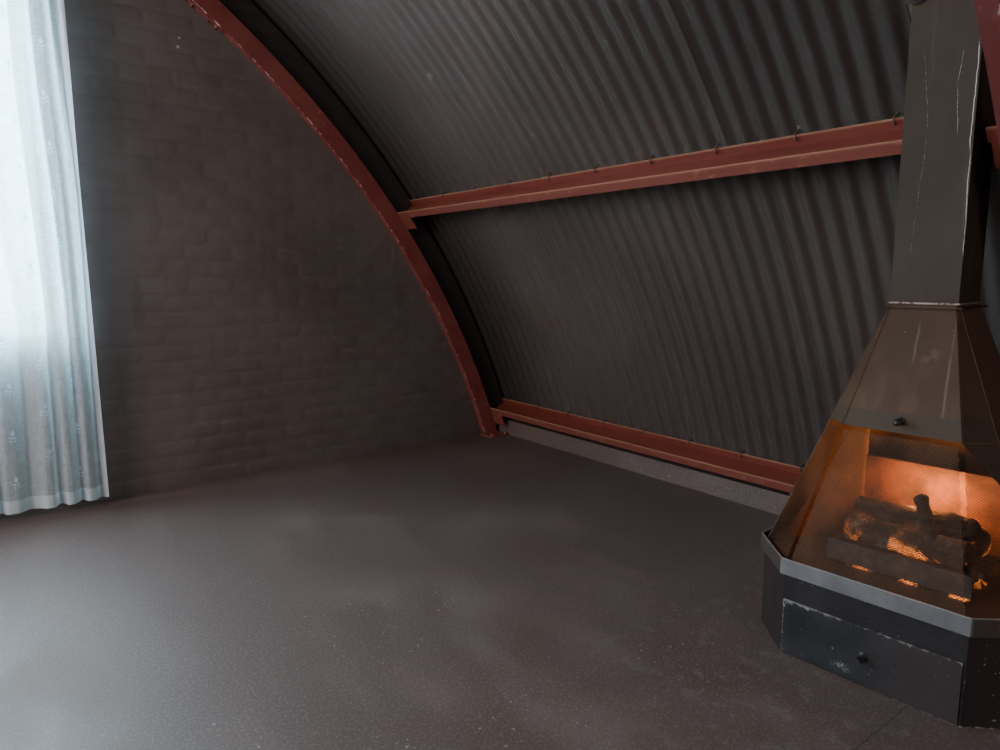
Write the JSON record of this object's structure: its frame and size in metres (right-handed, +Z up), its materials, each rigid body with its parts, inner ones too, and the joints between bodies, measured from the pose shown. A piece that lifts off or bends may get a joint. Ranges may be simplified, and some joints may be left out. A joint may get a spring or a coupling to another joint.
{
  "type": "vaulted iron hut end section",
  "caption": "End section of a vaulted corrugated-iron hut: arched steel ribs and purlins, brick end wall with curtained windows, and a built-in octagonal fireplace with its flue.",
  "frame": {"origin": "on the ground under the middle of the hut, at the centre of its bounding box", "axes": "+X across the hut to the fireplace's side, +Y along the hut out through the end wall, +Z up"},
  "size_m": [9.8046, 6.625, 4.215],
  "materials": {
    "concrete": "worn, sealed, low sheen",
    "painted_brick": "thick dark paint over brickwork, chipped",
    "window_paint": "white gloss paint on timber",
    "window_glass": "clear",
    "rail_metal": "satin",
    "voile": "sheer embroidered voile",
    "rib_paint": "old red paint, worn to bright steel at the edges",
    "purlin_paint": "old red primer with worn edges",
    "sheet_iron": "dark paint on corrugated iron, rubbed",
    "plinth_steel": "blue-black paint with worn edges",
    "hearth_steel": "pale grey-blue paint, rubbed",
    "hood_steel": "heat-browned black paint",
    "screen_mesh": "fine woven wire, heat-tinted",
    "liner_iron": "rusted by heat",
    "charred_wood": "charred",
    "flue_steel": "black paint, scratched to white",
    "flashing_steel": "weathered"
  },
  "bodies": {
    "hut": {"floor_slab": "concrete", "wall_base": "painted_brick", "wall_pier_left": "painted_brick", "wall_pier_centre": "painted_brick", "wall_pier_right": "painted_brick", "wall_gable": "painted_brick", "window_frame_left": "window_paint", "window_frame_right": "window_paint", "window_glass": "window_glass", "curtain_rails": "rail_metal", "curtain_left": "voile", "curtain_right": "voile", "rib_end": "rib_paint", "rib_mid": "rib_paint", "rib_front": "rib_paint", "low_rail_left": "purlin_paint", "low_rail_right": "purlin_paint", "mid_purlin_left": "purlin_paint", "mid_purlin_right": "purlin_paint", "upper_purlin_left": "purlin_paint", "upper_purlin_right": "purlin_paint", "high_purlin_left": "purlin_paint", "high_purlin_right": "purlin_paint", "crown_purlin": "purlin_paint", "sheets_left_low": "sheet_iron", "sheets_left_mid": "sheet_iron", "sheets_left_upper": "sheet_iron", "sheets_left_crown": "sheet_iron", "sheets_right_low": "sheet_iron", "sheets_right_mid": "sheet_iron", "sheets_right_upper": "sheet_iron", "sheets_right_crown": "sheet_iron", "plinth": "plinth_steel", "hearth_tray": "hearth_steel", "hood": "hood_steel", "fire_screen": "screen_mesh", "fire_back": "liner_iron", "fire_grate": "liner_iron", "fire_logs": "charred_wood", "flue": "flue_steel", "flue_flashing": "flashing_steel", "flue_cowl": "flue_steel"},
    "ash_drawer": {"ash_drawer": "plinth_steel"}
  },
  "joints": [
    {"name": "ash_drawer_slide", "type": "slide", "parent": "hut", "child": "ash_drawer", "axis": [-0.9982, -0.0593, 0], "range_m": [0, 0.3]}
  ]
}
